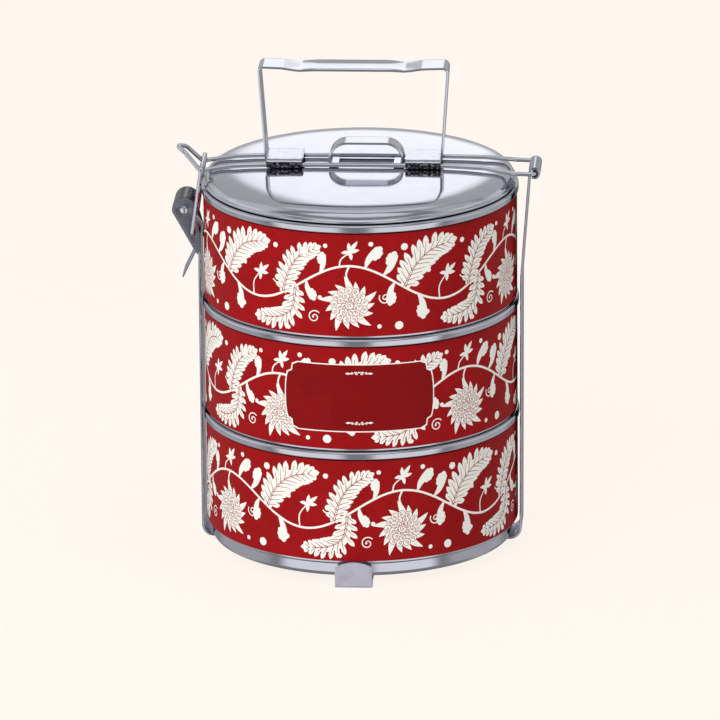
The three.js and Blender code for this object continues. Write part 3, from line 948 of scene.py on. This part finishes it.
def split_sheet(printed, z0, z1):
    """The unrolled film as points and triangles, split along every outline and between the columns."""
    points, edges = [], []

    def add(line, closed):
        first, count = len(points), len(line)
        points.extend(Vector(p) for p in line)
        edges.extend((first + i, first + (i + 1) % count) for i in range(count if closed else count - 1))

    for _, outline in printed:
        add(outline, True)
    for k in range(COLUMNS + 1):
        add([(SEAM + k * COLUMN, z0), (SEAM + k * COLUMN, z1)], False)
    for z in (z0, z1):
        add([(SEAM, z), (-SEAM, z)], False)
    out, _, triangles, _, _, _ = delaunay_2d_cdt(points, edges, [], 0, 1e-4, False)
    flat = np.array([tuple(p) for p in out])
    triangles = np.array([t for t in triangles if len(t) == 3])
    s, z = flat[triangles].mean(1).T
    return flat, triangles[(z > z0) & (z < z1) & (s > SEAM) & (s < -SEAM)]


def inside(places, outline):
    """Which of the places, an array of (s, z), lie inside a closed outline."""
    turns = np.zeros(len(places), int)
    corners = np.array(outline)
    s, z = places.T
    for (s0, z0), (s1, z1) in zip(corners, np.roll(corners, -1, 0)):
        side = (s1 - s0) * (z - z0) - (s - s0) * (z1 - z0)
        turns += ((z0 <= z) & (z1 > z) & (side > 0)).astype(int)
        turns -= ((z0 > z) & (z1 <= z) & (side < 0)).astype(int)
    return turns != 0


def inked(printed, places):
    """For each of the places, which of INKS is printed on it last."""
    colours = np.zeros(len(places), int)
    for colour, outline in printed:
        corners = np.array(outline)
        near = np.nonzero(np.all((places > corners.min(0)) & (places < corners.max(0)), 1))[0]
        colours[near[inside(places[near], outline)]] = INKS.index(colour)
    return colours


def wrapped(s, z, radius):
    """A place on the unrolled film, brought round the bowl on chords, so that each column is flat."""
    place = min(max((s - SEAM) / COLUMN, 0), COLUMNS)
    k = min(int(place), COLUMNS - 1)
    a, b = ((SEAM + (k + n) * COLUMN) / FILM_RADIUS for n in (0, 1))
    p = Vector((math.sin(a), -math.cos(a))).lerp(Vector((math.sin(b), -math.cos(b))), place - k) * radius
    return (p.x, p.y, z)


def film(tier, ink):
    """The film round one bowl. Its outside is split along every printed outline, so the print is sharp."""
    z0, z1 = film_heights(tier)
    printed = printed_between(ink, z0, z1)
    flat, triangles = split_sheet(printed, z0, z1)
    vertices = [wrapped(s, z, FILM_RADIUS) for s, z in flat]
    faces = [tuple(int(i) for i in t) for t in triangles]
    marks = [int(c) for c in inked(printed, flat[triangles].mean(1))]
    used = np.unique(triangles)
    back = []
    for z in (z0, z1):
        rim = [int(i) for i in used[np.abs(flat[used][:, 1] - z) < 1e-3]]
        rim.sort(key=lambda i: flat[i][0])
        first = len(vertices)
        vertices.extend(wrapped(flat[i][0], z, FILM_RADIUS - FILM) for i in rim)
        faces.extend((rim[k], rim[k + 1], first + k + 1, first + k) for k in range(len(rim) - 1))
        places = np.array([flat[i][0] for i in rim])
        corners = [np.argmin(np.abs(places - (SEAM + k * COLUMN))) for k in range(COLUMNS + 1)]
        back.append([first + int(i) for i in corners])
    faces.extend((back[0][k], back[0][k + 1], back[1][k + 1], back[1][k]) for k in range(COLUMNS))
    marks += [INKS.index("red")] * (len(faces) - len(marks))
    piece = make(f"print_film_{tier}", vertices, faces, [red_film, white_ink, plaque_film], 30, marks)
    settle(piece, f"{tier}_tier", "red_film", f"print_wrap_{tier}")


# Studio


class Sky:
    """The studio as light by direction: azimuth 0 is the front and grows towards +X, in degrees."""

    def __init__(self, world):
        world.use_nodes = True
        self.tree = world.node_tree
        self.background = self.tree.nodes["Background"]
        coordinates = self.tree.nodes.new("ShaderNodeTexCoord")
        split = self.tree.nodes.new("ShaderNodeSeparateXYZ")
        self.tree.links.new(coordinates.outputs["Generated"], split.inputs["Vector"])
        front = self.math("MULTIPLY", split.outputs["Y"], -1.0)
        self.from_front = self.math("DEGREES", self.math("ARCTAN2", split.outputs["X"], front))
        self.from_back = self.math("DEGREES", self.math("ARCTAN2", split.outputs["X"], split.outputs["Y"]))
        self.elevation = self.math("DEGREES", self.math("ARCSINE", split.outputs["Z"]))
        self.total = None

    def math(self, operation, first, second=None):
        node = self.tree.nodes.new("ShaderNodeMath")
        node.operation = operation
        for socket, value in zip(node.inputs, (first, second)):
            if isinstance(value, (int, float)):
                socket.default_value = value
            elif value is not None:
                self.tree.links.new(value, socket)
        return node.outputs[0]

    def band(self, value, centre, half, soft):
        """1 within half of the centre, falling smoothly to 0 over soft."""
        node = self.tree.nodes.new("ShaderNodeMapRange")
        node.interpolation_type = "SMOOTHERSTEP"
        away = self.math("ABSOLUTE", self.math("SUBTRACT", value, centre))
        self.tree.links.new(away, node.inputs["Value"])
        for name, amount in (("From Min", half + soft), ("From Max", half)):
            node.inputs[name].default_value = amount
        return node.outputs["Result"]

    def card(self, strength, azimuth, half, low, high, soft, rim):
        """Adds light over a range of azimuths and elevations, with soft edges across and up."""
        if abs(azimuth) > 90:
            wide = self.band(self.from_back, math.copysign(180, azimuth) - azimuth, half, soft)
        else:
            wide = self.band(self.from_front, azimuth, half, soft)
        tall = self.band(self.elevation, (low + high) / 2, (high - low) / 2, rim)
        amount = self.math("MULTIPLY", self.math("MULTIPLY", wide, tall), strength)
        self.total = amount if self.total is None else self.math("ADD", self.total, amount)

    def finish(self, colour):
        tint = self.tree.nodes.new("ShaderNodeVectorMath")
        tint.operation = "SCALE"
        tint.inputs[0].default_value = colour
        self.tree.links.new(self.total, tint.inputs["Scale"])
        self.tree.links.new(tint.outputs[0], self.background.inputs["Color"])


def reflected_studio():
    """What the steel reflects: an even room, and bright cards where the sheet shows highlights."""
    world = bpy.data.worlds.new("studio")
    bpy.context.scene.world = world
    sky = Sky(world)
    # strength, azimuth, half width, lowest and highest elevation, soft edge across and up
    for card in (
            (0.30, 0, 200, -90, 90, 10, 6),  # the room
            (0.24, 180, 60, 0, 90, 20, 10),  # behind and above, on the lid
            (0.86, -177.4, 2.0, 11, 30, 5, 7),  # narrow, down the middle of the lid
            (0.24, 180, 80, 64, 90, 20, 8),  # overhead, on the lid's shoulder
            (0.22, 105, 22, -38, 12, 20, 10),  # low at the sides, on the rims and base rings
            (0.22, -105, 22, -38, 12, 20, 10),
            (0.74, -36, 18, -40, 2, 14, 10),  # low in front, on the rims and base rings
            (0.74, 36, 18, -40, 2, 14, 10),
            (0.7, 0, 34, 44, 74, 26, 12),  # high in front
            (0.4, -88, 16, 0, 50, 12, 14),  # at the latch and at the hinge
            (0.3, 84, 14, 0, 50, 12, 14)):
        sky.card(*card)
    sky.finish((0.97, 0.975, 1.0))


def softbox(name, place, size, power):
    """A square lamp aimed at the middle of the stack. It lights the print and doesn't show in the steel."""
    light = bpy.data.lights.new(name, "AREA")
    light.shape = "RECTANGLE"
    light.size = size
    light.size_y = size
    light.energy = power
    lamp = bpy.data.objects.new(name, light)
    lamp.location = place
    lamp.visible_glossy = False
    lamp.rotation_mode = "QUATERNION"
    lamp.rotation_quaternion = (Vector(place) - Vector((0, 0, 0.11))).to_track_quat("Z", "Y")
    bpy.context.scene.collection.objects.link(lamp)


def paper_sweep():
    """A pale paper floor, far larger than the picture, that turns up at the back."""
    paper = Nodes("cream_paper", Base_Color=(0.07, 0.065, 0.06, 1), Roughness=0.9, Specular_IOR_Level=0.1,
                  Emission_Color=(1.0, 0.93, 0.865, 1), Emission_Strength=0.93)
    half_size, turn, height = 7000.0, 2000.0, 6000.0
    angles = [math.radians(5 * k) for k in range(19)]
    bend = [(half_size - turn + turn * math.sin(a), turn - turn * math.cos(a)) for a in angles]
    line = [(-half_size, 0), *bend, (half_size, height)]
    below = 0.02  # under the feet
    vertices = [(x, y, z - below) for y, z in line for x in (-half_size, half_size)]
    faces = [(2 * i, 2 * i + 1, 2 * i + 3, 2 * i + 2) for i in range(len(line) - 1)]
    floor = make("paper_sweep", vertices, faces, [paper.material], 60)
    floor.visible_glossy = False
    floor.visible_diffuse = False


def camera():
    azimuth, elevation, roll, distance = math.radians(3.5), math.radians(17.5), math.radians(0.5), 4.0
    aim = Vector((-0.0007, 0.0, 0.0838))
    level = math.cos(elevation)
    back = Vector((math.sin(azimuth) * level, -math.cos(azimuth) * level, math.sin(elevation)))
    data = bpy.data.cameras.new("view")
    data.lens = 444.5
    data.sensor_width = 36.0
    data.clip_end = 20.0
    view = bpy.data.objects.new("view", data)
    view.location = aim + back * distance
    view.rotation_mode = "QUATERNION"
    view.rotation_quaternion = back.to_track_quat("Z", "Y") @ Quaternion((0, 0, 1), -roll)
    bpy.context.scene.collection.objects.link(view)
    bpy.context.scene.camera = view


bpy.context.scene.view_settings.view_transform = "Standard"
camera()
reflected_studio()
softbox("key", (-0.8, -1.3, 1.3), 0.8, 22)
softbox("over", (0.2, -0.2, 1.6), 0.9, 5)
paper_sweep()
for tier_name in TIERS:
    bowl(tier_name)
lid_shell()
lid_handle()
carrier_strap()
foot_strip()
base_rivet("left", -BASE_RIVET_X)
base_rivet("right", BASE_RIVET_X)
latch_lever()
latch_rivet()
latch_bail()
clamp_wire()
carry_handle()
pattern = printed_pattern()
for tier_name in TIERS:
    film(tier_name, pattern)
